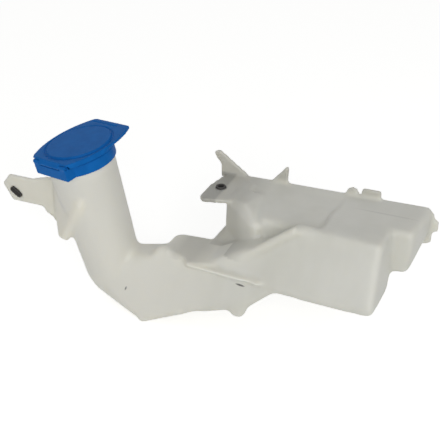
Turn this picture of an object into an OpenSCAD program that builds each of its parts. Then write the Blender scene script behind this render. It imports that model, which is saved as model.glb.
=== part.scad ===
// Washer fluid reservoir for a car: a blow-moulded tank with a leaning filler neck,
// fixing brackets, and a snap-on filler cap whose lid flips up on a moulded hinge.
// Origin: centre of the flat underside of the front sump. +X along the tank, +Z up.

/* [Shell] */
// Wall thickness of the blown shell
wall = 2.6; // [1.8:0.1:3.4]
// Rounding of the tank's outer edges
edge_r = 6; // [5:0.5:8]
// Thickness of the flat brackets, tabs and fins
tab_t = 4; // [3:0.5:5]

/* [Tank] */
// Length of the front sump's underside
sump_l = 98; // [84:1:120]
// Depth of the front sump's underside
sump_d = 52; // [44:1:64]
// Height of the tank's top face over the underside
tank_h = 66; // [62:1:84]
// How far the front face leans back from bottom to top
front_lean = 19; // [8:1:28]
// Back wall, measured behind the sump
back_reach = 53; // [44:1:70]
// Right end wall, measured past the sump
right_reach = 31; // [24:1:40]
// Left end wall, measured past the sump
left_reach = 61; // [52:1:76]
// Height of the rear half's underside
rear_lift = 20; // [8:1:26]
// How much further back the back wall stands at its right end
back_skew = 5; // [0:0.5:8]
// How far the right end's foot is set in under the upper part
end_step = 10; // [4:1:14]
// Length of the raised right part of the top
raised_l = 88; // [76:1:98]
// Depth of the sunken panel in the top
panel_drop = 6; // [3:0.5:10]

/* [Channel] */
// Height of the channel's top over the sump's underside
channel_top = 17; // [12:1:22]
// How far the channel's right end hangs below the sump's underside
channel_drop = 24; // [16:1:30]
// How far the elbow's low corner hangs below the sump's underside
elbow_drop = 60; // [52:1:66]
// Distance of the ramp's foot to the left of the origin
ramp_foot = 115; // [108:1:120]
// Height that the ramp climbs to the tank
ramp_rise = 20; // [14:1:26]
// How far the lip stands out over the channel's front face
lip_out = 8; // [4:0.5:10]
// Fall of the lip to the right, in degrees
lip_tilt = 2.5; // [0:0.5:5]

/* [Filler neck] */
// Height of the cap's seat over the sump's underside
seat_z = 104.5; // [95:0.5:118]
// Distance of the cap's seat to the left of the origin
seat_x = 240; // [232:1:250]
// Distance of the cap's seat in front of the origin
seat_y = 28; // [22:1:36]
// Lean of the cap's seat to the left, in degrees
lean_side = 10; // [6:1:14]
// Lean of the cap's seat to the front, in degrees
lean_front = 6; // [0:1:10]
// How far the neck's foot stands in from the seat, towards the tank
foot_in = 17; // [12:1:22]
// How far the neck's foot stands behind the seat
foot_back = 18; // [10:1:24]
// Depth of the neck's foot below the seat
foot_down = 122; // [112:1:130]
// Outer radius of the neck's rim inside the cap
neck_r = 29.7; // [28:0.1:32]
// How far the neck below the cap stands out past the rim
neck_flare = 2.8; // [2:0.1:4]
// Outer radius of the neck at its foot
neck_foot_r = 28.8; // [26:0.2:31]

/* [Cap] */
// Space between the neck's rim and the cap ring round it
cap_room = 2.8; // [2.5:0.1:4]
// Wall thickness of the cap's mouldings
cap_wall = 2.2; // [2:0.1:3]
// Height of the cap ring
ring_h = 11.5; // [10:0.5:14]
// Height of the lid's skirt
lid_h = 5; // [4.4:0.1:7]
// How far the lid's pull end stands past the ring
pull_l = 13; // [6:0.5:16]
// How far the lid's sides stand past the ring
lid_over = 1.8; // [0.5:0.1:2.4]
// Width of the hinge side
pull_w = 47; // [42:1:50]
// Turn of the cap on the neck, in degrees
cap_turn = 19; // [0:1:30]
// Radius of the hinge trunnions
trunnion_r = 1.3; // [1.1:0.1:1.5]
// Running clearance of the trunnions
hinge_clear = 0.08; // [0.05:0.01:0.15]
// Gap between lid and ring
lid_gap = 0.5; // [0.4:0.1:0.8]

/* [Fixings] */
// Distance of the neck bracket's tip from the cap's seat
bracket_reach = 94.6; // [88:0.2:100]
// Height of the bracket's tip below the cap's seat
bracket_fall = 42.9; // [38:0.1:48]
// Bore radius of the lug's rubber grommet, for the fixing screw
screw_r = 3.2; // [2.6:0.1:3.6]
// Wall of the grommet round its bore
grommet_wall = 1.2; // [1:0.1:1.6]
// Width of the grommet's flange
grommet_flange = 1; // [0.8:0.1:1.6]
// Length of the slot in the neck bracket
slot_l = 13.5; // [9:0.5:15]
// Width of the slot in the neck bracket
slot_w = 6; // [4.5:0.1:7]
// Wall of the slot's rubber bush
bush_wall = 0.9; // [0.7:0.1:1.4]
// Bore radius of the pump port in the tank's back wall
port_r = 10; // [8:0.5:12]

/* [Hidden] */
$fn = 64;
ball_fn = 12;
fit = 0.3;
slip = 0.06;
far = 400;
milk = [0.87, 0.87, 0.83];
blue = [0.10, 0.38, 0.68];
black = [0.13, 0.13, 0.14];

// Tank planes
sump_x = sump_l / 2;
sump_y = sump_d / 2;
right_x = sump_x + right_reach;
left_x = -sump_x - left_reach;
back_y = sump_y + back_reach;
step_x = right_x - raised_l;
panel_z = tank_h - panel_drop;
ridge_y = -sump_y + front_lean;
apex_x = -sump_x + 19;
seam_y = back_y - 29;

// Front plane, from which the sump, the wing and the channel are measured
function front_y(z) = -sump_y + front_lean * z / tank_h;
function front(x, z) = [x, front_y(z), z];

// Channel planes
low_x = -sump_x - 37;
elbow_x = -ramp_foot - 70;
ramp_top = channel_top + ramp_rise;
ramp_x = -sump_x - 21;
chan_back = sump_y - 8;
lip_z = channel_top - 2;
slit_z = lip_z - tab_t - 5;
function channel_low(x) = -channel_drop + (x - low_x) * (elbow_drop - channel_drop) / (low_x - elbow_x - 6);

// Neck frame
seat = [-seat_x, -seat_y, seat_z];
neck_foot = seat + [foot_in, foot_back, -foot_down];
elbow_r = neck_foot_r - 3.3;
rim_top = ring_h - cap_wall - fit;
bead_r = neck_r + cap_room - fit;

// Cap sizes
ring_in = neck_r + cap_room;
ring_r = ring_in + cap_wall;
mouth_r = neck_r - wall - 1.4;
ear_r = trunnion_r + 1.1;
knuckle_r = trunnion_r + 1.3;
hinge_y = -ring_r + 1.2;
hinge_z = ring_h + 1.2;
hinge_back = 0.6;
pull_t = 2.4;
lid_half = ring_r + lid_over;
lid_rear = hinge_y - hinge_back;
lid_front = ring_r + pull_l;
lid_mid = (lid_rear + lid_front) / 2;
lid_bow = 2.1 * lid_half;
knuckle_w = pull_w * 0.62;
ear_w = (pull_w - knuckle_w) / 2 - fit;
lid_z = ring_h + lid_gap;
seal_t = 1.6;
seal_r = -hinge_y - knuckle_r - 1.6;
plate_z = ring_h + slip + seal_t;
plug_r = mouth_r - fit;
plug_in = plug_r - 0.9 - cap_wall;

// Fixing places
groove_r = screw_r + grommet_wall;
flange_r = groove_r + grommet_flange;
flange_t = 1.4;
bracket_y = -seat_y;
bracket_tip = [-seat_x - bracket_reach, seat_z - bracket_fall];
bracket_u = bracket_reach / 86;
bracket_hole = bracket_tip + bracket_u * [14, -6.5];
slot_turn = -36;
gusset_r = 5.5;
lug_top = tank_h - 1;
lug_hole = [left_x - 15, back_y - 37];

function middle(c) = [for (i = [0:2]) (min([for (p = c) p[i]]) + max([for (p = c) p[i]])) / 2];
function inset(p, m, r) = [for (i = [0:2]) p[i] + r * sign(m[i] - p[i])];
function box_corners(lo, hi) = [for (x = [lo[0], hi[0]], y = [lo[1], hi[1]], z = [lo[2], hi[2]]) [x, y, z]];

// A corner ball, stretched so that its flats lie at its full height
module ball(r)
    scale([1, 1, 1 / cos(180 / ball_fn)])
        sphere(r = r, $fn = ball_fn);

// A soft-edged block through the given outer corners, pulled in by skin all round
module blown(corners, r, skin) {
    mid = middle(corners);
    hull()
        for (p = corners)
            translate(inset(p, mid, r))
                ball(r - skin);
}

// An upright prism's corners from its outline in X and Y
function prism_corners(outline, z0, z1) = [for (q = outline, z = [z0, z1]) [q[0], q[1], z]];

// The full-length back half, whose top falls a little from the back edge to the panel
module back_part(skin) {
    back = [[left_x, back_y], [step_x + 20, back_y + back_skew / 2]];
    seam = [[left_x, seam_y], [step_x + 20, seam_y]];
    blown(concat(prism_corners(back, rear_lift + 1, tank_h),
                 prism_corners(seam, rear_lift + 1, tank_h - panel_drop / 2)), edge_r, skin);
}

// The raised right part of the top, with its foot set in at the end
module right_part(skin) {
    front = sump_y - 2;
    foot_x = right_x - end_step;
    upper = [[step_x, front], [step_x, back_y + back_skew / 2], [right_x - 2, back_y + back_skew],
             [foot_x + 2, front]];
    lower = [[step_x, front], [step_x, back_y], [foot_x, back_y], [foot_x, front]];
    blown(concat(prism_corners(upper, tank_h - 14, tank_h),
                 prism_corners(lower, rear_lift, rear_lift + 1)), edge_r, skin);
}

// The rear half under the sunken panel, which falls to the front
module panel_part(skin) {
    front = [[ramp_x - 3, ridge_y + 15], [step_x + 24, ridge_y + 15]];
    middle = [[left_x + 15, sump_y + 8]];
    back = [[left_x + 15, back_y - 4], [step_x + 24, back_y - 4]];
    blown(concat(prism_corners(front, rear_lift, panel_z - 1),
                 prism_corners(middle, rear_lift, panel_z),
                 prism_corners(back, rear_lift, tank_h - 1)), edge_r, skin);
}

// The front sump with its leaning front face
module sump_part(skin)
    blown([
        [-sump_x - 1, -sump_y, 0], [sump_x + 3, -sump_y - 3, 0],
        [sump_x + 5, sump_y, 0], [-sump_x, sump_y + 4, 0],
        [step_x - 2, ridge_y, tank_h], [sump_x + 2, ridge_y - 2, tank_h],
        [sump_x + 4, sump_y + 20, tank_h], [step_x - 2, sump_y + 20, tank_h]
    ], edge_r, skin);

// The height of the front face's falling top edge at x
function wing_top(x) = tank_h + (x - apex_x) * (tank_h - ramp_top) / (apex_x - ramp_x);
function ramp_z(x) = channel_top + (x + ramp_foot) * ramp_rise / (ramp_x + ramp_foot);

// The wing that carries the front face on to the left, under its falling top edge
module wing_part(skin) {
    left = ramp_x - 14;
    blown([
        front(step_x + 4, tank_h), [step_x + 4, ridge_y + 13, tank_h],
        front(apex_x + 8, tank_h + 1), [apex_x + 8, ridge_y + 13, tank_h + 1],
        front(left, wing_top(left)), [left, sump_y - 20, wing_top(left)],
        front(-sump_x + 20, 16), [-sump_x + 20, sump_y, 16],
        front(-sump_x - 3, 0), [-sump_x - 3, sump_y, 0],
        front(low_x + 9, -channel_drop + 3), [low_x + 9, chan_back, -channel_drop + 3]
    ], edge_r, skin);
}

// The ramp from the channel's top up to the wing
module ramp_part(skin) {
    right = ramp_x + 15;
    left = -ramp_foot - 8;
    blown([
        front(right, ramp_z(right)), [right, sump_y - 20, ramp_z(right)],
        front(left, ramp_z(left)), [left, sump_y, ramp_z(left)],
        front(low_x + 13, -channel_drop), [low_x + 13, chan_back, -channel_drop],
        front(left, channel_low(left + edge_r)), [left, chan_back, channel_low(left + edge_r)]
    ], edge_r, skin);
}

// The left shoulder: a high block at the back, with a slope down to the channel
module shoulder_part(skin) {
    blown(box_corners([left_x, sump_y - 4, rear_lift + 8], [left_x + 17, seam_y + 15, tank_h]), edge_r, skin);
    blown([
        [left_x - 2, sump_y - 6, tank_h], [left_x + 25, sump_y + 2, tank_h],
        [left_x, seam_y, tank_h], [left_x + 32, seam_y, tank_h - 2],
        [ramp_x, sump_y - 21, panel_z - 6], [left_x - 3, sump_y - 6, ramp_top + 4],
        [left_x + 2, sump_y + 8, channel_top - 8],
        [ramp_x - 2, sump_y - 16, rear_lift], [ramp_x - 4, seam_y - 8, rear_lift]
    ], edge_r, skin);
    // The heel, where the end wall runs out to the channel's back edge
    blown([
        [left_x + 1, sump_y - 4, ramp_top + 5], [left_x + 30, sump_y - 6, ramp_top],
        [left_x + 1, sump_y + 14, ramp_top + 5], [left_x + 30, sump_y + 14, channel_top - 8],
        [left_x - 18, chan_back + 2, channel_top - 13], [left_x + 30, chan_back - 8, channel_top - 13],
        [left_x - 6, sump_y + 8, channel_top - 13]
    ], edge_r, skin);
}

// The flat channel from the elbow to the ramp
module channel_part(skin) {
    right = -ramp_foot + 20;
    blown([
        front(right, channel_top), [right, sump_y, channel_top],
        [-ramp_foot - 8, chan_back + 2, channel_top],
        [elbow_x + 19, chan_back + 3, channel_top], front(elbow_x + 22, channel_top),
        front(right, channel_low(right)), [right, chan_back, channel_low(right)],
        front(elbow_x + 2, -elbow_drop), [elbow_x + 10, chan_back, -elbow_drop + 6]
    ], edge_r, skin);
}

// The elbow that turns the neck into the channel
module elbow_part(skin)
    hull() {
        translate(neck_foot - [0, 0, 8])
            sphere(r = elbow_r - skin, $fn = 32);
        for (p = [front(elbow_x + 8, -elbow_drop + edge_r), front(elbow_x - 19, -elbow_drop + 3 * edge_r),
                  front(elbow_x + 34, -elbow_drop + 22), front(elbow_x + 41, channel_top - 11),
                  front(elbow_x + 18, channel_top - 11)])
            translate(p + [0, edge_r + 0.2, 0])
                ball(edge_r - skin);
        for (p = [[elbow_x + 17, sump_y - 22, channel_top - 13], [elbow_x + 9, chan_back - 6, -channel_drop],
                  [elbow_x, chan_back - 8, -elbow_drop + 2 * edge_r]])
            translate(p)
                ball(edge_r - skin);
    }

// The hump on the elbow's right shoulder
module hump_part(skin)
    hull()
        for (p = [front(elbow_x + 20, channel_top - 3), front(elbow_x + 26, channel_top - 2),
                  front(elbow_x + 41, channel_top - 11), front(elbow_x + 10, channel_top - 24),
                  front(elbow_x + 30, channel_top - 40)])
            for (back = [0, 9])
                translate(p + [0, edge_r + 0.2 + back, -back / 3])
                    ball(edge_r - skin);

// The tapered neck tube, open at the top of its bore
module neck_part(skin) {
    reach = (skin > 0) ? far / 4 : 0;
    hull() {
        translate(neck_foot)
            sphere(r = neck_foot_r - skin, $fn = 32);
        at_seat()
            translate([0, 0, -5 - skin])
                cylinder(r = neck_r + neck_flare - skin, h = 4, $fn = 48);
    }
    at_seat()
        translate([0, 0, -6 - skin])
            cylinder(r = neck_r - skin, h = rim_top + 6 + skin + reach, $fn = 48);
}

// The toe that stands under the channel's right end, level with the front face
module toe_part(skin) {
    foot_z = -channel_drop - 8;
    blown([
        front(low_x, -channel_drop + 8), front(low_x + 20, -channel_drop + 16),
        front(low_x + 1, foot_z + 1), front(low_x + 16, foot_z + 1),
        [low_x, -sump_y + 8, -channel_drop + 8], [low_x + 20, -sump_y + 8, -channel_drop + 16],
        [low_x + 1, -sump_y + 8, foot_z], [low_x + 14, -sump_y + 8, foot_z]
    ], edge_r - 2, skin);
}

module shell_parts(skin) {
    back_part(skin);
    right_part(skin);
    panel_part(skin);
    sump_part(skin);
    wing_part(skin);
    ramp_part(skin);
    shoulder_part(skin);
    channel_part(skin);
    elbow_part(skin);
    hump_part(skin);
    neck_part(skin);
    toe_part(skin);
}

// Places its children on the neck's axis, with z = 0 at the cap ring's lower edge
module at_seat()
    translate(seat)
        rotate([lean_front, -lean_side, 0])
            rotate([0, 0, -cap_turn])
                children();

// An upright plate, outlined in X and Z, with soft corners
module upright(outline, y, r = 2)
    translate([0, y + tab_t / 2, 0])
        rotate([90, 0, 0])
            linear_extrude(tab_t)
                offset(r = r)
                    offset(delta = -r)
                        polygon(outline);

// A level plate, outlined in X and Y, with soft corners
module level(outline, z, t, r = 3)
    translate([0, 0, z - t])
        linear_extrude(t)
            offset(r = r)
                offset(delta = -r)
                    polygon(outline);

// The bracket on the neck's left side, with a stepped web down the neck
module neck_bracket() {
    tx = bracket_tip[0];
    tz = bracket_tip[1];
    u = bracket_u;
    upright([
        [tx, tz], [tx + 8 * u, tz + 10 * u], [tx + 32 * u, tz + 10 * u], [tx + 48 * u, tz + 15 * u],
        [-seat_x, tz + 15 * u], [-seat_x + 16 * u, tz - 42 * u], [tx + 64 * u, tz - 43 * u],
        [tx + 57 * u, tz - 38 * u], [tx + 56 * u, tz - 31 * u], [tx + 50 * u, tz - 24 * u],
        [tx + 44 * u, tz - 21 * u], [tx + 43 * u, tz - 16 * u], [tx + 9 * u, tz - 16 * u]
    ], bracket_y);
    // The gusset that ties the bracket to the neck's front
    hull()
        for (p = [[-27, -2, -28.5], [-28, -2, -57], [12, -24, -30], [-24, -7, -84]])
            translate([-seat_x + p[0], bracket_y + p[1], seat_z + p[2]])
                sphere(r = gusset_r, $fn = ball_fn);
}

// The level lug and the tall gusset at the tank's left end
module left_lug() {
    level([
        [left_x + 6, sump_y - 6], [left_x - 23, sump_y - 13], [left_x - 27, sump_y - 8],
        [left_x - 27, back_y - 34], [left_x - 22, back_y - 8], [left_x + 6, back_y - 3]
    ], lug_top, tab_t);
    upright([
        [left_x + 6, tank_h - 4], [left_x + 1, tank_h + 1], [left_x - 29, tank_h + 23],
        [left_x - 37, tank_h + 21], [left_x - 28, tank_h + 9], [left_x - 28, lug_top - tab_t],
        [left_x + 6, lug_top - tab_t]
    ], back_y - edge_r + 1);
}

// A small fin, a nub and a tab along the top's back edge, and the flange at the right end
module edge_tabs() {
    y = back_y - edge_r + 1;
    sunk = tank_h - 1.5;
    fin_x = left_x + 26;
    nub_x = step_x + 8;
    tab_x = step_x + 17;
    upright([[fin_x, sunk], [fin_x + 17, tank_h + 19], [fin_x + 19, tank_h + 17],
             [fin_x + 18, sunk]], y, 0.8);
    upright([[tab_x, sunk], [tab_x, tank_h + 9], [tab_x + 19, tank_h + 9],
             [tab_x + 19, sunk]], y + back_skew / 2, 2);
    translate([0, y + (back_skew + tab_t) / 2, 0])
        rotate([90, 0, 0])
            linear_extrude(tab_t)
                union() {
                    translate([nub_x, tank_h + 2])
                        circle(r = 6, $fn = 24);
                    translate([nub_x - 6, sunk])
                        square([12, tank_h + 2 - sunk]);
                }
    upright([[right_x - end_step - 6, rear_lift + 7], [right_x - 3, rear_lift + 7], [right_x, rear_lift + 10],
             [right_x, tank_h - 25], [right_x + 5, tank_h - 23], [right_x + 5, tank_h - 13],
             [right_x, tank_h - 10], [right_x, tank_h - 5], [right_x - end_step - 6, tank_h - 5]],
            y + back_skew - 1, 1);
}

// The thin lip along the channel's front face, which falls a little to the right
module channel_lip() {
    edge_y = front_y(lip_z) - lip_out;
    lip_l = ramp_foot - sump_x + 12;
    translate([-ramp_foot - 18, 0, lip_z])
        rotate([0, lip_tilt, 0])
            level([[0, edge_y], [lip_l, edge_y - 1], [lip_l, edge_y + 20], [2, edge_y + 20]], 0, tab_t - 1);
}

// The snap bead that holds the cap ring on the neck
module rim_bead()
    at_seat()
        translate([0, 0, rim_top - 4])
            cylinder(r1 = bead_r, r2 = neck_r, h = 3);

module tank()
    color(milk)
        difference() {
            union() {
                shell_parts(0);
                rim_bead();
                neck_bracket();
                left_lug();
                edge_tabs();
                channel_lip();
            }
            shell_parts(wall);
            at_slot()
                oblong(slot_l + 2 * slip, slot_w + 2 * slip, 4 * tab_t);
            translate([lug_hole[0], lug_hole[1], lug_top])
                cylinder(r = groove_r + slip, h = 4 * tab_t, center = true);
            // The slit under the channel's lip
            translate([low_x + 7, front_y(slit_z) - 2, slit_z])
                cube([11, 2 + wall / 2, 2.6]);
            // The pump port through the back wall of the rear half
            translate([0, back_y, (rear_lift + tank_h) / 2])
                rotate([90, 0, 0])
                    cylinder(r = port_r, h = 4 * edge_r, center = true);
        }

// The snap-on ring, with a flat hinge side and two ears
module cap_ring()
    color(blue)
        at_seat()
            difference() {
                union() {
                    cylinder(r = ring_r, h = ring_h);
                    translate([-pull_w / 2, hinge_y - ear_r + 0.4, 0])
                        cube([pull_w, ring_r * 0.6, ring_h - lid_gap]);
                    for (side = [-1, 1])
                        ear(side);
                }
                translate([0, 0, -1])
                    cylinder(r = neck_r + fit, h = ring_h - cap_wall + 1);
                translate([0, 0, rim_top - 5])
                    cylinder(r = ring_in, h = ring_h - cap_wall - rim_top + 5);
                translate([0, 0, -1])
                    cylinder(r = mouth_r, h = ring_h + 2);
                at_hinge()
                    cylinder(r = knuckle_r + fit, h = knuckle_w + 2 * fit, center = true);
                at_hinge()
                    cylinder(r = trunnion_r + hinge_clear, h = pull_w + 2, center = true);
            }

// Places its children on the hinge line, with z along it
module at_hinge()
    translate([0, hinge_y, hinge_z])
        rotate([0, 90, 0])
            children();

// One hinge ear on the ring
module ear(side)
    translate([side * (pull_w - ear_w) / 2, hinge_y, 0]) {
        translate([0, 0, hinge_z])
            rotate([0, 90, 0])
                cylinder(r = ear_r, h = ear_w, center = true);
        translate([-ear_w / 2, -ear_r + 0.4, 0])
            cube([ear_w, 2 * ear_r - 0.4, hinge_z]);
    }

// The lid's outline, bowed at the sides and straight at both ends, drawn in by inset_by all round
module lid_outline(inset_by)
    intersection() {
        lens(lid_bow - lid_half, lid_bow - inset_by);
        translate([-far / 2, lid_rear + inset_by])
            square([far, lid_front - lid_rear - 2 * inset_by]);
    }

// The part of the lid's outline that has a skirt, round at the pull end
module lid_skirt(inset_by)
    intersection() {
        lid_outline(inset_by);
        union() {
            circle(r = lid_half - inset_by);
            translate([-far / 2, -far])
                square([far, far]);
        }
    }

// The lens that two large circles leave between them
module lens(shift, r)
    intersection() {
        translate([shift, lid_mid])
            circle(r = r, $fn = 128);
        translate([-shift, lid_mid])
            circle(r = r, $fn = 128);
    }

// The flip lid: a shallow cap with a raised panel, a plug, a pull tab and a hinge knuckle
module cap_lid()
    color(blue)
        at_seat() {
            difference() {
                union() {
                    translate([0, 0, lid_z + lid_h - pull_t])
                        linear_extrude(pull_t)
                            lid_outline(0);
                    translate([0, 0, lid_z])
                        linear_extrude(lid_h)
                            lid_skirt(0);
                }
                translate([0, 0, lid_z - 1])
                    linear_extrude(plate_z - lid_z + 1)
                        difference() {
                            lid_skirt(cap_wall);
                            translate([-knuckle_w / 2, hinge_y - knuckle_r])
                                square([knuckle_w, 2 * knuckle_r]);
                        }
                translate([0, 0, lid_z - 1])
                    cylinder(r = plug_in, h = lid_h + 1 - cap_wall + 0.5);
                for (side = [-1, 1])
                    translate([side * (knuckle_w / 2 + far / 2), 0, 0])
                        at_hinge()
                            cylinder(r = ear_r + fit, h = far, center = true);
            }
            lid_plug();
            at_hinge()
                cylinder(r = knuckle_r, h = knuckle_w, center = true);
            at_hinge()
                cylinder(r = trunnion_r, h = knuckle_w + 2 * ear_w, center = true);
            translate([0, lid_mid - 3, lid_z + lid_h - 0.5])
                cylinder(r1 = lid_half - 4.4, r2 = lid_half - 5.4, h = 1.5);
        }

// The ring under the lid that drops into the mouth
module lid_plug()
    difference() {
        translate([0, 0, ring_h - cap_wall - 1])
            cylinder(r1 = plug_r - 0.9, r2 = plug_r, h = plate_z + 1 - ring_h + cap_wall + 1);
        translate([0, 0, ring_h - cap_wall - 2])
            cylinder(r = plug_in, h = plate_z - ring_h + cap_wall + 4);
    }

// The soft seal between the lid and the ring's top
module lid_seal()
    color(black)
        at_seat()
            translate([0, 0, ring_h + slip])
                difference() {
                    cylinder(r = seal_r, h = seal_t);
                    translate([0, 0, -1])
                        cylinder(r = mouth_r + fit, h = seal_t + 2);
                }

// A rubber grommet with its groove round a plate, bore along z, plate centred on z = 0
module grommet() {
    half = tab_t / 2 + slip;
    difference() {
        union() {
            cylinder(r = groove_r, h = 2 * half, center = true);
            for (side = [0, 1])
                mirror([0, 0, side])
                    translate([0, 0, half])
                        cylinder(r1 = flange_r, r2 = flange_r - 0.6, h = flange_t);
        }
        cylinder(r = screw_r, h = 2 * half + 2 * flange_t + 2, center = true);
    }
}

// A straight-sided slot shape with round ends, along x, centred
module oblong(l, w, h) {
    cube([l - w, w, h], center = true);
    for (side = [-1, 1])
        translate([side * (l - w) / 2, 0, 0])
            cylinder(r = w / 2, h = h, center = true);
}

// Places its children on the neck bracket's slot, with z through the plate
module at_slot()
    translate([bracket_hole[0], bracket_y, bracket_hole[1]])
        rotate([90, 0, 0])
            rotate([0, 0, slot_turn])
                children();

module slot_bush()
    color(black)
        at_slot()
            difference() {
                oblong(slot_l, slot_w, tab_t + 1);
                oblong(slot_l - 2 * bush_wall, slot_w - 2 * bush_wall, tab_t + 3);
            }

module lug_grommet()
    color(black)
        translate([lug_hole[0], lug_hole[1], lug_top - tab_t / 2])
            grommet();

tank();
cap_ring();
cap_lid();
lid_seal();
slot_bush();
lug_grommet();
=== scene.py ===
# %% [markdown]
# # A washer fluid reservoir
# A blow-moulded tank of milky polyethylene sits low in a car's wing, with a leaning filler neck and a
# blue flip-top cap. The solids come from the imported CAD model, and this lesson gives them their finish:
# rounded plastic corners, materials, light and a camera.

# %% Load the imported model
import math

import bpy
from mathutils import Matrix, Vector


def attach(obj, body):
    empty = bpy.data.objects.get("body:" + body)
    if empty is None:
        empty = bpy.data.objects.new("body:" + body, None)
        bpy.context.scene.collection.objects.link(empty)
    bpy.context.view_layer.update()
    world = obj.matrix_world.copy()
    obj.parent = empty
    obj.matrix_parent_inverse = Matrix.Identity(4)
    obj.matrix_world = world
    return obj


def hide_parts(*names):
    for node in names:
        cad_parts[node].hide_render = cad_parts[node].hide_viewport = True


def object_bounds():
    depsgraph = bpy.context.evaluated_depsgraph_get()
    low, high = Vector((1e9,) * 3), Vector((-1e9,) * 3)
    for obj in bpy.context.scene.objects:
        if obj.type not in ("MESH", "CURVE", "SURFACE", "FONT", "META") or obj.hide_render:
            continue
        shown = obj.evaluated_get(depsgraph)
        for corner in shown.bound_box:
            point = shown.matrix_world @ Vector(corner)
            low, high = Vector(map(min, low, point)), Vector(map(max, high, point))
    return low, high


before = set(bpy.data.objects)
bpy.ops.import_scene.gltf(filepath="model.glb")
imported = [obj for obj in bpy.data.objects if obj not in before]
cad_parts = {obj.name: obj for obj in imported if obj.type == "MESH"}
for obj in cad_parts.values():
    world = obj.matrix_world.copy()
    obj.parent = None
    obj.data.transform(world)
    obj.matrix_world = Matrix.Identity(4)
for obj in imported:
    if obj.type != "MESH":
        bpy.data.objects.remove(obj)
cad_low, cad_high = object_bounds()
print("CAD box in mm:", [round(1000 * c, 1) for c in cad_high - cad_low], sorted(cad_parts))

# %% [markdown]
# ## The camera
# The photograph looks down at the tank by about 30 degrees and sees its front and a little of its right
# end. A 70 mm lens from 0.77 m gives the same small narrowing towards the back. A camera could be placed
# by hand, but two angles and a reach are easier to match, one at a time.

# %% Place the camera at the photograph's angle
VIEW_TURN = math.radians(23)
VIEW_TILT = math.radians(30)
VIEW_REACH = 0.770
view_target = Vector((-0.0924, -0.0373, 0.0768))
towards_camera = Vector((math.sin(VIEW_TURN) * math.cos(VIEW_TILT),
                         -math.cos(VIEW_TURN) * math.cos(VIEW_TILT),
                         math.sin(VIEW_TILT)))
bpy.ops.object.camera_add(location=view_target + VIEW_REACH * towards_camera)
camera = bpy.context.object
camera.rotation_euler = towards_camera.to_track_quat("Z", "Y").to_euler()
camera.data.lens = 70
camera.data.sensor_width = 36
bpy.context.scene.camera = camera
print("camera at", [round(c, 3) for c in camera.location])

# %% [markdown]
# ## Node helpers
# Colours are picked as sRGB hex values, while the shader works with linear light, so one function turns
# one into the other. A second one adds a node, sets it and links it, and a third starts an empty
# material.

# %% Three small helpers for materials
MM = 0.001


def linear(code):
    """An sRGB hex colour as linear RGBA."""
    parts = [int(code[i:i + 2], 16) / 255 for i in (1, 3, 5)]
    return [p / 12.92 if p <= 0.04045 else ((p + 0.055) / 1.055) ** 2.4 for p in parts] + [1.0]


def add(tree, kind, settings, inputs):
    """Adds one node, sets its properties, and fills its inputs with values or other nodes' outputs."""
    node = tree.nodes.new("ShaderNode" + kind)
    for name, value in settings.items():
        setattr(node, name, value)
    for name, value in inputs.items():
        if isinstance(value, bpy.types.NodeSocket):
            tree.links.new(value, node.inputs[name])
        else:
            node.inputs[name].default_value = value
    return node


def new_material(name):
    """An empty node material, its tree and its output node."""
    material = bpy.data.materials.new(name)
    material.use_nodes = True
    material.node_tree.nodes.clear()
    output = material.node_tree.nodes.new("ShaderNodeOutputMaterial")
    return material, material.node_tree, output


# %% [markdown]
# ## Milky polyethylene
# Natural HDPE that was blown in a sand-blasted mould: off-white, a little translucent and satin. Faint
# cloudy streaks show where the hot tube was stretched, and a fine pebbled skin spreads each highlight. A
# plain colour would look like paint, so the light is let into the wall by subsurface scattering. Light and
# shade are painted into the colour as well: whiter towards the neck as painted light, and greyer as painted
# shade on the channel's top, the shoulder, the fins and the lug, whose grey is partly its pinched plastic.

# %% The cloudy colour of blow-moulded HDPE
CLOUD_SIZE = 38 * MM
tank_hdpe, tree, output = new_material("blow_moulded_hdpe")
place = add(tree, "TexCoord", {}, {})
streak_place = add(tree, "Mapping", {}, {"Vector": place.outputs["Object"], "Scale": (1, 1, 0.35)})
clouds = add(tree, "TexNoise", {}, {"Vector": streak_place.outputs["Vector"], "Scale": 1 / CLOUD_SIZE,
                                    "Detail": 3, "Roughness": 0.5})
cloud_ramp = add(tree, "ValToRGB", {}, {"Fac": clouds.outputs["Fac"]})
for stop, position, colour in zip(cloud_ramp.color_ramp.elements, (0.32, 0.68), ("#d8d7cd", "#e1e0d7")):
    stop.position = position
    stop.color = linear(colour)
# The mesh's own attributes say where light and shade are painted: whiter towards the neck, greyer where
# shade falls and, in part, on the pinched lug.
# A Mix node's colours are its inputs 6 and 7, and its result is output 2.
pinched_grey_and_shade = add(tree, "Attribute", {"attribute_name": "pinched_grey_and_shade"}, {})
neck_light = add(tree, "Attribute", {"attribute_name": "painted_neck_light"}, {})
# Painted light: the colour turns whiter towards the neck.
neck_light_mix = add(tree, "Mix", {"data_type": "RGBA"}, {
    "Factor": neck_light.outputs["Fac"], 6: cloud_ramp.outputs["Color"], 7: linear("#ebe8dc")})
# Painted shade: the colour turns greyer where shade falls, on the lug partly for its pinched plastic.
grey_and_shade_mix = add(tree, "Mix", {"data_type": "RGBA"}, {
    "Factor": pinched_grey_and_shade.outputs["Fac"], 6: neck_light_mix.outputs[2], 7: linear("#a9a8a1")})
print("cloud size in mm:", round(CLOUD_SIZE / MM))
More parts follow.
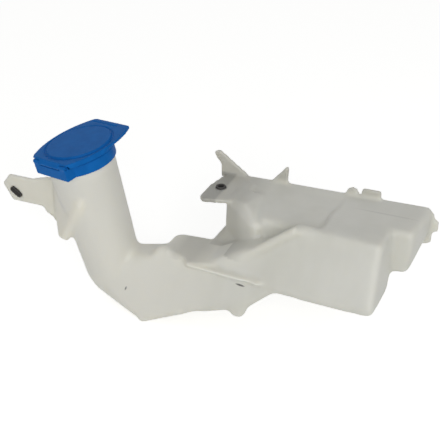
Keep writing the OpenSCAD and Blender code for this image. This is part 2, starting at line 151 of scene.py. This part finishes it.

# %% A small dark dash, and painted shade at a slit and along a crease
DARK_MARKS_AND_SHADE = [  # middle and half sizes in mm, turn in degrees, how dark
    ((-196, -33.5, -26.8), (1.3, 4.0, 3.2), 20, 0.85),  # small dark dash at the elbow
    ((-76.7, -26, 3.0), (5.5, 5.0, 1.1), 4, 0.85),  # painted shade where a slit under the lip shows dark
    ((40, 50.6, 66), (34, 1.5, 6.0), 0, 0.12),  # painted shade along the crease on the raised top
]
tone_with_painted_light = grey_and_shade_mix
# Each mark darkens the colour; at the slit and at the crease this is painted shade.
for middle, half_sizes, turn, depth in DARK_MARKS_AND_SHADE:
    near = add(tree, "Mapping", {"vector_type": "TEXTURE"}, {
        "Vector": place.outputs["Object"], "Location": [c * MM for c in middle],
        "Rotation": (0, math.radians(turn), 0), "Scale": [c * MM for c in half_sizes]})
    reach = add(tree, "VectorMath", {"operation": "LENGTH"}, {0: near.outputs["Vector"]})
    dark = add(tree, "MapRange", {}, {"Value": reach.outputs["Value"], "From Min": 0.55, "From Max": 1.0,
                                      "To Min": depth, "To Max": 0.0})
    tone_with_painted_light = add(tree, "Mix", {"data_type": "RGBA"}, {
        "Factor": dark.outputs["Result"], 6: tone_with_painted_light.outputs[2], 7: linear("#3c3b37")})
print("marks:", len(DARK_MARKS_AND_SHADE))

# %% The satin, pebbled skin that lets light in
PEBBLE_SIZE = 1.6 * MM  # real pebbling is finer and wouldn't show in the render
pebbles = add(tree, "TexNoise", {}, {"Vector": place.outputs["Object"], "Scale": 1 / PEBBLE_SIZE,
                                     "Detail": 2, "Roughness": 0.6})
sheen_range = add(tree, "MapRange", {}, {"Value": clouds.outputs["Fac"], "From Min": 0.3, "From Max": 0.7,
                                         "To Min": 0.42, "To Max": 0.52})
pebble_bump = add(tree, "Bump", {}, {"Height": pebbles.outputs["Fac"], "Strength": 0.06,
                                     "Distance": 0.3 * MM})
hdpe = add(tree, "BsdfPrincipled", {}, {
    "Base Color": tone_with_painted_light.outputs[2],
    "Roughness": sheen_range.outputs["Result"],
    "IOR": 1.54,
    "Subsurface Weight": 0.8,
    "Subsurface Radius": (1.0, 0.95, 0.85),
    "Subsurface Scale": 6 * MM,
    "Normal": pebble_bump.outputs["Normal"],
})
tree.links.new(hdpe.outputs["BSDF"], output.inputs["Surface"])
print("made", tank_hdpe.name)

# %% [markdown]
# ## Blue polypropylene
# The cap is injection-moulded polypropylene, dyed through. Its tool was finely etched, so the blue is
# satin: it shows a soft light on the edges and hardly any mirror image. A weak specular level gives that
# better than a high roughness, which would turn the blue pale.

# %% Injection-moulded PP for the cap
DYE_SIZE = 9 * MM
ETCH_SIZE = 0.7 * MM  # coarser than a real etched tool, so that it shows
cap_pp, tree, output = new_material("moulded_blue_polypropylene")
place = add(tree, "TexCoord", {}, {})
dye = add(tree, "TexNoise", {}, {"Vector": place.outputs["Object"], "Scale": 1 / DYE_SIZE, "Detail": 2})
dye_ramp = add(tree, "ValToRGB", {}, {"Fac": dye.outputs["Fac"]})
for stop, position, colour in zip(dye_ramp.color_ramp.elements, (0.3, 0.7), ("#1062ae", "#1469b8")):
    stop.position = position
    stop.color = linear(colour)
etching = add(tree, "TexNoise", {}, {"Vector": place.outputs["Object"], "Scale": 1 / ETCH_SIZE,
                                     "Detail": 2})
etch_bump = add(tree, "Bump", {}, {"Height": etching.outputs["Fac"], "Strength": 0.10,
                                   "Distance": 0.1 * MM})
pp = add(tree, "BsdfPrincipled", {}, {
    "Base Color": dye_ramp.outputs["Color"],
    "Roughness": 0.45,
    "IOR": 1.49,
    "Specular IOR Level": 0.05,
    "Normal": etch_bump.outputs["Normal"],
})
tree.links.new(pp.outputs["BSDF"], output.inputs["Surface"])
print("made", cap_pp.name)

# %% [markdown]
# ## Black rubber
# The lid's seal, the bracket's bush and the lug's grommet are moulded EPDM rubber: nearly black and
# dull, with a trace of grey bloom. The black of bush and grommet also stands in for the shade inside the
# slot and the hole, as painted shade. One noise drives both the bloom's colour and its faint relief.

# %% Moulded EPDM for the seal, bush and grommet
BLOOM_SIZE = 3 * MM
rubber_and_hole_shade, tree, output = new_material("epdm_rubber_and_hole_shade")
place = add(tree, "TexCoord", {}, {})
bloom = add(tree, "TexNoise", {}, {"Vector": place.outputs["Object"], "Scale": 1 / BLOOM_SIZE, "Detail": 3})
bloom_ramp = add(tree, "ValToRGB", {}, {"Fac": bloom.outputs["Fac"]})
for stop, position, colour in zip(bloom_ramp.color_ramp.elements, (0.35, 0.75), ("#2b2a29", "#45423f")):
    stop.position = position
    stop.color = linear(colour)
rubber_bump = add(tree, "Bump", {}, {"Height": bloom.outputs["Fac"], "Strength": 0.15,
                                     "Distance": 0.2 * MM})
rubber = add(tree, "BsdfPrincipled", {}, {
    "Base Color": bloom_ramp.outputs["Color"],
    "Roughness": 0.68,
    "IOR": 1.52,
    "Normal": rubber_bump.outputs["Normal"],
})
tree.links.new(rubber.outputs["BSDF"], output.inputs["Surface"])
print("made", rubber_and_hole_shade.name)

# %% [markdown]
# ## The blown tank
# A blown bottle has no sharp inside corner: the hot plastic bridges every crease of the mould. The CAD
# tank keeps its creases, and a CAD node is never changed, so the lesson works on a copy that replaces
# it. The node is made of loose triangles, so the copy's corners are merged first.

# %% Copy a CAD node as a mesh that can be reshaped
def pick(piece):
    """Selects one piece alone and makes it the active one."""
    bpy.ops.object.select_all(action="DESELECT")
    bpy.context.view_layer.objects.active = piece
    piece.select_set(True)


def reshaped_copy(node, name):
    """A copy of a CAD node's mesh as a new piece, its loose triangles joined at their corners."""
    piece = bpy.data.objects.new(name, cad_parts[node].data.copy())
    bpy.context.scene.collection.objects.link(piece)
    pick(piece)
    bpy.ops.object.mode_set(mode="EDIT")
    bpy.ops.mesh.select_all(action="SELECT")
    bpy.ops.mesh.remove_doubles(threshold=0.01 * MM)
    bpy.ops.object.mode_set(mode="OBJECT")
    return piece


def dress(piece, node, body, material):
    """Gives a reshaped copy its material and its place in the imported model."""
    piece.data.materials.clear()
    piece.data.materials.append(material)
    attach(piece, body)
    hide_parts(node)


blown_tank = reshaped_copy("tank", "blown_tank")
print("tank copy:", len(blown_tank.data.vertices), "points")

# %% [markdown]
# ## Soft swellings
# The mould also swells the wall a few millimetres: a nose at the channel's front left corner, level with
# its top, a rib under the neck bracket and a roll along the wing's falling edge. Sculpting them by hand
# would work too. Here a plane is extruded and two rods are laid into the wall, and the next step melts
# them into one skin with it.

# %% The nose at the channel's corner
NOSE_CORNERS = [  # in mm, the front pair first, as a plane counts its own
    (-131, -29.5, 17), (-104, -21.5, 17), (-150, -10, 17), (-104, -10, 17)]
NOSE_DEPTH = Vector((0, 4, -8)) * MM
bpy.ops.mesh.primitive_plane_add(size=1)
nose = bpy.context.object
for v, corner in zip(nose.data.vertices, NOSE_CORNERS):
    v.co = Vector(corner) * MM
bpy.ops.object.mode_set(mode="EDIT")
bpy.ops.mesh.select_all(action="SELECT")
bpy.ops.mesh.extrude_region_move(TRANSFORM_OT_translate={"value": NOSE_DEPTH})
bpy.ops.mesh.select_all(action="SELECT")
bpy.ops.mesh.normals_make_consistent(inside=False)
bpy.ops.object.mode_set(mode="OBJECT")
print("nose:", len(nose.data.polygons), "faces")

# %% The rib under the bracket and the roll on the wing's edge
ROLLS = [  # top end, foot and radius in mm
    ((-228.5, -53.0, 72), (-260, -38.5, 20), 5.2),  # rib
    ((-28, -8, 65.5), (-90, -15, 19), 4.4),  # roll
]
swellings = [nose]
for top, foot, radius in ROLLS:
    top, foot = Vector(top) * MM, Vector(foot) * MM
    bpy.ops.mesh.primitive_cylinder_add(vertices=16, radius=radius * MM, depth=(top - foot).length,
                                        location=(top + foot) / 2,
                                        rotation=(top - foot).to_track_quat("Z", "Y").to_euler())
    swellings.append(bpy.context.object)
pick(blown_tank)
for swelling in swellings:
    swelling.select_set(True)
bpy.ops.object.join()
print("tank with its swellings:", len(blown_tank.data.vertices), "points")


# %% [markdown]
# ## An even skin
# The copy has thousands of odd facets, which give a bevel no clean edge to follow. A voxel remesh turns it
# into an even skin of small quads instead, which can be smoothed anywhere. The quads are smaller than the
# wall is thick, so the tank stays hollow.

# %% Turn the copy into an even skin
def even_skin(piece, size):
    """Rebuilds a piece as an even skin of small quads."""
    pick(piece)
    skin = piece.modifiers.new("even_skin", "REMESH")
    skin.mode = "VOXEL"
    skin.voxel_size = size
    skin.use_smooth_shade = True
    bpy.ops.object.modifier_apply(modifier=skin.name)
    print(piece.name, "even skin:", len(piece.data.polygons), "faces")


TANK_QUAD = 1.8 * MM
even_skin(blown_tank, TANK_QUAD)

# %% [markdown]
# ## What was blown, and what was pinched flat
# Smoothing shrinks thin plates, so each point gets a weight. Where the hot plastic bridged a crease
# widely, the skin is smoothed first and far. Then all of it is smoothed a little, but for the flat
# plates and crisp edges.

# %% Zones of flat plates and of wide bridging
PLATE_ZONES = [  # low and high corners in mm
    ((-340, -34, -10), (-268, -22, 95)),  # neck bracket
    ((-150, -10, 57.5), (-114, 80, 100)),  # left lug and its gusset
    ((-150, 66, 67), (80, 84, 100)),  # fin, nub and tab on the back edge
    ((78.5, 60, 20), (90, 84, 66)),  # flange at the right end
    ((-156, -60, 2), (-88, 20, 24)),  # channel's top edge
    ((-100, -60, 2), (-74, -28, 24)),  # lip
]
WIDE_ZONES = [  # low and high corners in mm, weight
    ((-240, -60, -40), (-176, 4, -4), 0.3),  # elbow
    ((-225, -60, -4), (-156, 20, 28), 1.0),  # neck's foot
    ((-135, -60, -40), (-20, -18, 6), 1.0),  # channel's lower front
    ((-74, -60, 0), (-30, -24, 18), 1.0),  # lip's fading right end
    ((-100, -40, 22), (-30, 4, 80), 0.25),  # wing's falling edge
    ((-30, -40, 22), (36, 4, 80), 0.6),  # sump's top edge
    ((28, -30, -10), (78, 60, 56), 0.8),  # right end
    ((-268, -68, 10), (-220, -30, 80), 0.25),  # rib under the bracket
]


def in_box(point, low, high):
    """Whether a point lies between two corners that are given in mm."""
    return all(low[i] * MM <= point[i] <= high[i] * MM for i in range(3))


def on_plate(v):
    """Whether a mesh point belongs to a flat plate or a crisp edge."""
    return any(in_box(v.co, low, high) for low, high in PLATE_ZONES)


def bridged(v):
    """How widely the hot plastic bridged the creases at a mesh point."""
    if on_plate(v):
        return 0.0
    return max([weight for low, high, weight in WIDE_ZONES if in_box(v.co, low, high)], default=0.0)


print("zones:", len(PLATE_ZONES), "plates,", len(WIDE_ZONES), "wide")


# %% Smooth what was blown
def soften(piece, name, weight_of, passes):
    """Smooths the active piece's points, each as far as its weight says."""
    group = piece.vertex_groups.new(name=name)
    for v in piece.data.vertices:
        weight = weight_of(v)
        if weight > 0:
            group.add([v.index], weight, "REPLACE")
    smoothing = piece.modifiers.new(name, "SMOOTH")
    smoothing.factor = 0.5
    smoothing.iterations = passes
    smoothing.vertex_group = name
    bpy.ops.object.modifier_apply(modifier=smoothing.name)
    piece.vertex_groups.remove(piece.vertex_groups[name])


BRIDGING_PASSES, BLOWN_PASSES = 30, 8
PLATE_SOFTNESS = 0.2
soften(blown_tank, "wide_bridging", bridged, BRIDGING_PASSES)
soften(blown_tank, "blown", lambda v: PLATE_SOFTNESS if on_plate(v) else 1.0, BLOWN_PASSES)
bpy.ops.object.shade_smooth()
dress(blown_tank, "tank", "reservoir", tank_hdpe)
print("smoothed", len(blown_tank.data.vertices), "points")

# %% [markdown]
# ## Painted light and shade
# The colour is whiter towards the neck, a painted light that is weaker on the bracket. It is greyer as
# painted shade on the shoulder, on the fins and on the channel's top, there the more the face looks up. On
# the lug the grey is partly painted shade and partly its pinched plastic. Painting that by hand wouldn't
# survive a new remesh, so two attributes are worked out for each point, and the material reads them.

# %% Mark where light and shade are painted
LUG_X, RAMP_X, NECK_X = -117, -90, -172  # limits in mm
FOOT_X, FOOT_Y, FRONT_Y = -124, 10, -30
LUG_Z, CHANNEL_Z = (58.5, 66.2), (12, 24)
LUG_FADE, SHOULDER_FADE, FIN_FADE = (LUG_X, LUG_X - 4), (-78, -98), (67, 72)  # from none to full, in mm
CHANNEL_RIGHT_FADE, CHANNEL_LEFT_FADE = (-114, -128), (-160, -146)
NECK_FADE, BRACKET_FADE = (-85, -175), (-262, -282)
# How grey the painted shade makes the shoulder, the channel's top and the fins.
SHOULDER_SHADE, CHANNEL_TOP_SHADE, FIN_SHADE = 0.55, 0.42, 0.5
# How much less painted light the bracket gets.
BRACKET_LESS_LIGHT = 0.6


def rise(value, fade):
    """0 at the fade's start, 1 at its end and past it."""
    start, end = fade
    return min(1.0, max(0.0, (value - start) / (end - start)))


def grey_and_shade_at(v):
    """How much painted shade a mesh point gets; on the lug it is partly the grey of pinched plastic."""
    x, y, z = v.co / MM
    if x < NECK_X or y < FRONT_Y:
        return 0.0
    # On the lug the grey is partly its pinched plastic and partly painted shade.
    if LUG_Z[0] < z < LUG_Z[1] and x < LUG_X:
        return max(SHOULDER_SHADE, rise(x, LUG_FADE))
    shoulder_foot = y > FOOT_Y and x > FOOT_X
    if CHANNEL_Z[0] < z < CHANNEL_Z[1] and x < RAMP_X and not shoulder_foot:
        ends = min(rise(x, CHANNEL_RIGHT_FADE), rise(x, CHANNEL_LEFT_FADE))
        # Painted shade: the channel's top turns greyer the more it faces up.
        return CHANNEL_TOP_SHADE * max(0.0, v.normal.z) * ends
    # Painted shade on the shoulder and on the fins along the back edge.
    shoulder = SHOULDER_SHADE * rise(x, SHOULDER_FADE) if shoulder_foot or z > CHANNEL_Z[1] else 0.0
    return max(shoulder, FIN_SHADE * rise(z, FIN_FADE))


def painted_neck_light_at(v):
    """How much painted light a mesh point gets: more towards the neck, less on the bracket."""
    x = v.co.x / MM
    return rise(x, NECK_FADE) - BRACKET_LESS_LIGHT * rise(x, BRACKET_FADE)


grey_and_shade_values = blown_tank.data.attributes.new("pinched_grey_and_shade", "FLOAT", "POINT")
neck_light_values = blown_tank.data.attributes.new("painted_neck_light", "FLOAT", "POINT")
for v in blown_tank.data.vertices:
    grey_and_shade_values.data[v.index].value = grey_and_shade_at(v)
    neck_light_values.data[v.index].value = painted_neck_light_at(v)
print("pinched points:", sum(1 for d in grey_and_shade_values.data if d.value > 0))

# %% [markdown]
# ## The cap's ring
# The ring is a rigid moulding that snaps over the neck. Under the lid's edge it has a shallow cove,
# which reads as a dark line. The cove is cut by a torus, used up as a cutter. The cap leans with the
# neck, so its details are placed in its own directions and carried over by one matrix.

# %% The cap's own directions: x along the hinge, z up the leaning neck
cap_place = (Matrix.Translation((-0.240, -0.028, 0.1045)) @ Matrix.Rotation(math.radians(-10), 4, "Y")
             @ Matrix.Rotation(math.radians(6), 4, "X") @ Matrix.Rotation(math.radians(-19), 4, "Z"))
to_cap = cap_place.inverted()
RING_RADIUS = 34.7 * MM
RING_TOP = 11.5 * MM
HINGE_SIDE = -24 * MM  # the cove stops at the flat hinge side
COVE_RADIUS, COVE_OUTSET = 1.4 * MM, 0.4 * MM
print("lid faces", [round(c, 3) for c in cap_place.to_3x3().col[2]])


# %% Cut the ring's cove
def cut_with(piece, cutter):
    """Takes the cutter's shape, given in the cap's directions, out of a piece and deletes the cutter."""
    cutter.matrix_world = cap_place @ cutter.matrix_basis
    pick(piece)
    groove = piece.modifiers.new("groove", "BOOLEAN")
    groove.operation = "DIFFERENCE"
    groove.solver = "EXACT"
    groove.object = cutter
    bpy.ops.object.modifier_apply(modifier=groove.name)
    bpy.data.objects.remove(cutter)


moulded_ring = reshaped_copy("cap_ring", "moulded_ring")
bpy.ops.mesh.primitive_torus_add(location=(0, 0, RING_TOP), major_radius=RING_RADIUS + COVE_OUTSET,
                                 minor_radius=COVE_RADIUS, major_segments=96, minor_segments=12)
cove = bpy.context.object
bpy.ops.object.mode_set(mode="EDIT")
bpy.ops.mesh.select_all(action="SELECT")
bpy.ops.mesh.bisect(plane_co=(0, HINGE_SIDE, 0), plane_no=(0, 1, 0), clear_inner=True, use_fill=True)
bpy.ops.object.mode_set(mode="OBJECT")
cut_with(moulded_ring, cove)
print("ring with its cove:", len(moulded_ring.data.polygons), "faces")

# %% [markdown]
# ## The cap's lid
# The flip lid has a round raised panel with a moat round it, a pull end with a line for the finger, and
# rounded corners. The corners' upright edges are found by their place and bevelled, and moat and line
# are cut.

# %% Round the lid's upright corners
LID_TOP = 17.0 * MM
LID_END = 47.7 * MM
LID_SIDE = 24.67 * MM
LID_HINGE_END = -34.1 * MM
CORNER_REACH, LEAST_HEIGHT = 0.3 * MM, 0.5 * MM  # how near to the corner, and how upright
LID_CORNERS = [  # x, y and radius
    (-LID_SIDE, LID_END, 3.4 * MM),
    (-LID_SIDE, LID_HINGE_END, 3.4 * MM),
    (LID_SIDE, LID_END, 1.6 * MM),
]
moulded_lid = reshaped_copy("cap_lid", "moulded_lid")
for corner_x, corner_y, radius in LID_CORNERS:
    bpy.ops.object.mode_set(mode="EDIT")
    bpy.ops.mesh.select_all(action="SELECT")
    bpy.ops.mesh.dissolve_limited(angle_limit=math.radians(0.5))
    bpy.ops.mesh.select_all(action="DESELECT")
    bpy.ops.object.mode_set(mode="OBJECT")
    found = 0
    for edge in moulded_lid.data.edges:
        ends = [to_cap @ moulded_lid.data.vertices[i].co for i in edge.vertices]
        at_corner = all(max(abs(e.x - corner_x), abs(e.y - corner_y)) < CORNER_REACH for e in ends)
        edge.select = at_corner and abs(ends[0].z - ends[1].z) > LEAST_HEIGHT
        found += edge.select
    bpy.ops.object.mode_set(mode="EDIT")
    bpy.ops.mesh.select_mode(type="EDGE")
    if found:
        bpy.ops.mesh.bevel(offset=radius, segments=4, affect="EDGES")
    bpy.ops.object.mode_set(mode="OBJECT")
    print("rounded", found, "edge at", round(corner_x / MM, 1), round(corner_y / MM, 1))

# %% Cut the moat round the lid's panel and the finger line across its pull end
PANEL_MIDDLE = 3.8 * MM
PANEL_RADIUS = 32.1 * MM
MOAT_RADIUS, MOAT_OUTSET = 1.3 * MM, 0.6 * MM
FINGER_LINE = Vector((-5, -5.5, 0.2)) * MM  # its middle, from the middle of the pull end's top edge
FINGER_RADIUS, FINGER_LENGTH = 1.0 * MM, 36 * MM
bpy.ops.mesh.primitive_torus_add(location=(0, PANEL_MIDDLE, LID_TOP), major_radius=PANEL_RADIUS + MOAT_OUTSET,
                                 minor_radius=MOAT_RADIUS, major_segments=96, minor_segments=12)
cut_with(moulded_lid, bpy.context.object)
bpy.ops.mesh.primitive_cylinder_add(vertices=16, radius=FINGER_RADIUS, depth=FINGER_LENGTH,
                                    location=Vector((0, LID_END, LID_TOP)) + FINGER_LINE,
                                    rotation=(0, math.pi / 2, 0))
cut_with(moulded_lid, bpy.context.object)
print("lid with its moat:", len(moulded_lid.data.polygons), "faces")

# %% [markdown]
# ## The cap's moulded edges
# The tool leaves a radius of about half a millimetre on every edge, and that thin round catches the
# light. The cut meshes have slivers on which a bevel collapses, so they get an even skin too, finer than
# the tank's, and a little smoothing. The lid's hinge is smoothed further, because its pin needs its
# clearance.

# %% Round the edges of the ring and the lid
HINGE_Y, HINGE_Z = -33.5 * MM, 12.7 * MM
HINGE_REACH = 4.6 * MM
CAP_QUAD = 0.5 * MM
EDGE_PASSES, HINGE_PASSES = 5, 8


def at_hinge(v):
    """1 near the hinge pin's axis, 0 elsewhere."""
    spot = to_cap @ v.co
    return float(math.hypot(spot.y - HINGE_Y, spot.z - HINGE_Z) < HINGE_REACH)


for piece in (moulded_ring, moulded_lid):
    even_skin(piece, CAP_QUAD)
    soften(piece, "edge_round", lambda v: 1.0, EDGE_PASSES)
    bpy.ops.object.shade_smooth()
soften(moulded_lid, "pin_clearance", at_hinge, HINGE_PASSES)
dress(moulded_ring, "cap_ring", "reservoir", cap_pp)
dress(moulded_lid, "cap_lid", "lid", cap_pp)

# %% [markdown]
# ## The rubber parts
# Seal, bush and grommet are small and already have their real shape in the CAD model, so they stay as
# they are and only take the rubber.

# %% Give the rubber parts their finish
# The black of the bush and the grommet also stands in for the shade inside the slot and the hole.
for node in ("lid_seal", "slot_bush", "lug_grommet"):
    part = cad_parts[node]
    part.data.materials.clear()
    part.data.materials.append(rubber_and_hole_shade)
    print("rubber on", node)

# %% [markdown]
# ## Floor and light
# A product photograph on white: a wide soft lamp to the right of the camera lights the front, a small
# one low on the left lifts the neck's foot, and an even white room keeps the shadows open. More light
# would burn the milky plastic out, so floor and room are white only to the camera and in reflections,
# and the floor keeps a soft shadow.

# %% Lay the floor
FLOOR_LIFT = 0.6
ROOM_LIGHT = 0.44


def white_to_eye(tree):
    """1 for what the camera sees, directly, mirrored or through something clear, and 0 for plain light."""
    rays = add(tree, "LightPath", {}, {})
    seen = add(tree, "Math", {"operation": "MAXIMUM"}, {
        0: rays.outputs["Is Camera Ray"], 1: rays.outputs["Is Glossy Ray"]})
    return add(tree, "Math", {"operation": "MAXIMUM"}, {
        0: seen.outputs[0], 1: rays.outputs["Is Transmission Ray"]}).outputs[0]


bpy.ops.mesh.primitive_plane_add(size=12, location=(0, 0, cad_low.z))
floor = bpy.context.object
floor.name = "floor"
floor_paper, tree, output = new_material("white_paper_floor")
paper = add(tree, "BsdfDiffuse", {}, {"Color": linear("#e9e9e7")})
lift = add(tree, "Math", {"operation": "MULTIPLY"}, {0: white_to_eye(tree), 1: FLOOR_LIFT})
glow = add(tree, "Emission", {}, {"Color": (1, 1, 1, 1), "Strength": lift.outputs[0]})
both = add(tree, "AddShader", {}, {0: paper.outputs[0], 1: glow.outputs[0]})
tree.links.new(both.outputs[0], output.inputs["Surface"])
floor.data.materials.append(floor_paper)
print("floor at", round(cad_low.z / MM, 1), "mm")

# %% Fill the room with even light
room = bpy.data.worlds.new("white_room")
bpy.context.scene.world = room
room.use_nodes = True
tree = room.node_tree
tree.nodes.clear()
level = add(tree, "MapRange", {}, {"Value": white_to_eye(tree), "To Min": ROOM_LIGHT, "To Max": 1.0})
sky = add(tree, "Background", {}, {"Color": (1, 1, 1, 1), "Strength": level.outputs["Result"]})
world_output = tree.nodes.new("ShaderNodeOutputWorld")
tree.links.new(sky.outputs[0], world_output.inputs["Surface"])
print("room light:", ROOM_LIGHT)


# %% Hang the two lamps
def soft_lamp(name, place, aim, size, power):
    """A square area lamp at a place, turned to a point."""
    bpy.ops.object.light_add(type="AREA", location=place)
    lamp = bpy.context.object
    lamp.name = name
    lamp.data.size = size
    lamp.data.energy = power
    lamp.rotation_euler = (Vector(place) - Vector(aim)).to_track_quat("Z", "Y").to_euler()


soft_lamp("right_softbox", (0.62, -1.12, 0.60), (-0.12, -0.02, 0.05), 0.8, 7.6)
soft_lamp("neck_softbox", (-0.30, -0.46, 0.02), (-0.20, -0.03, 0.0), 0.25, 0.13)

# %% [markdown]
# ## The view transform
# Finishing never makes the part larger. The scene's colours are shown with the Standard view transform.

# %% Set the view transform
scene = bpy.context.scene
scene.view_settings.view_transform = "Standard"
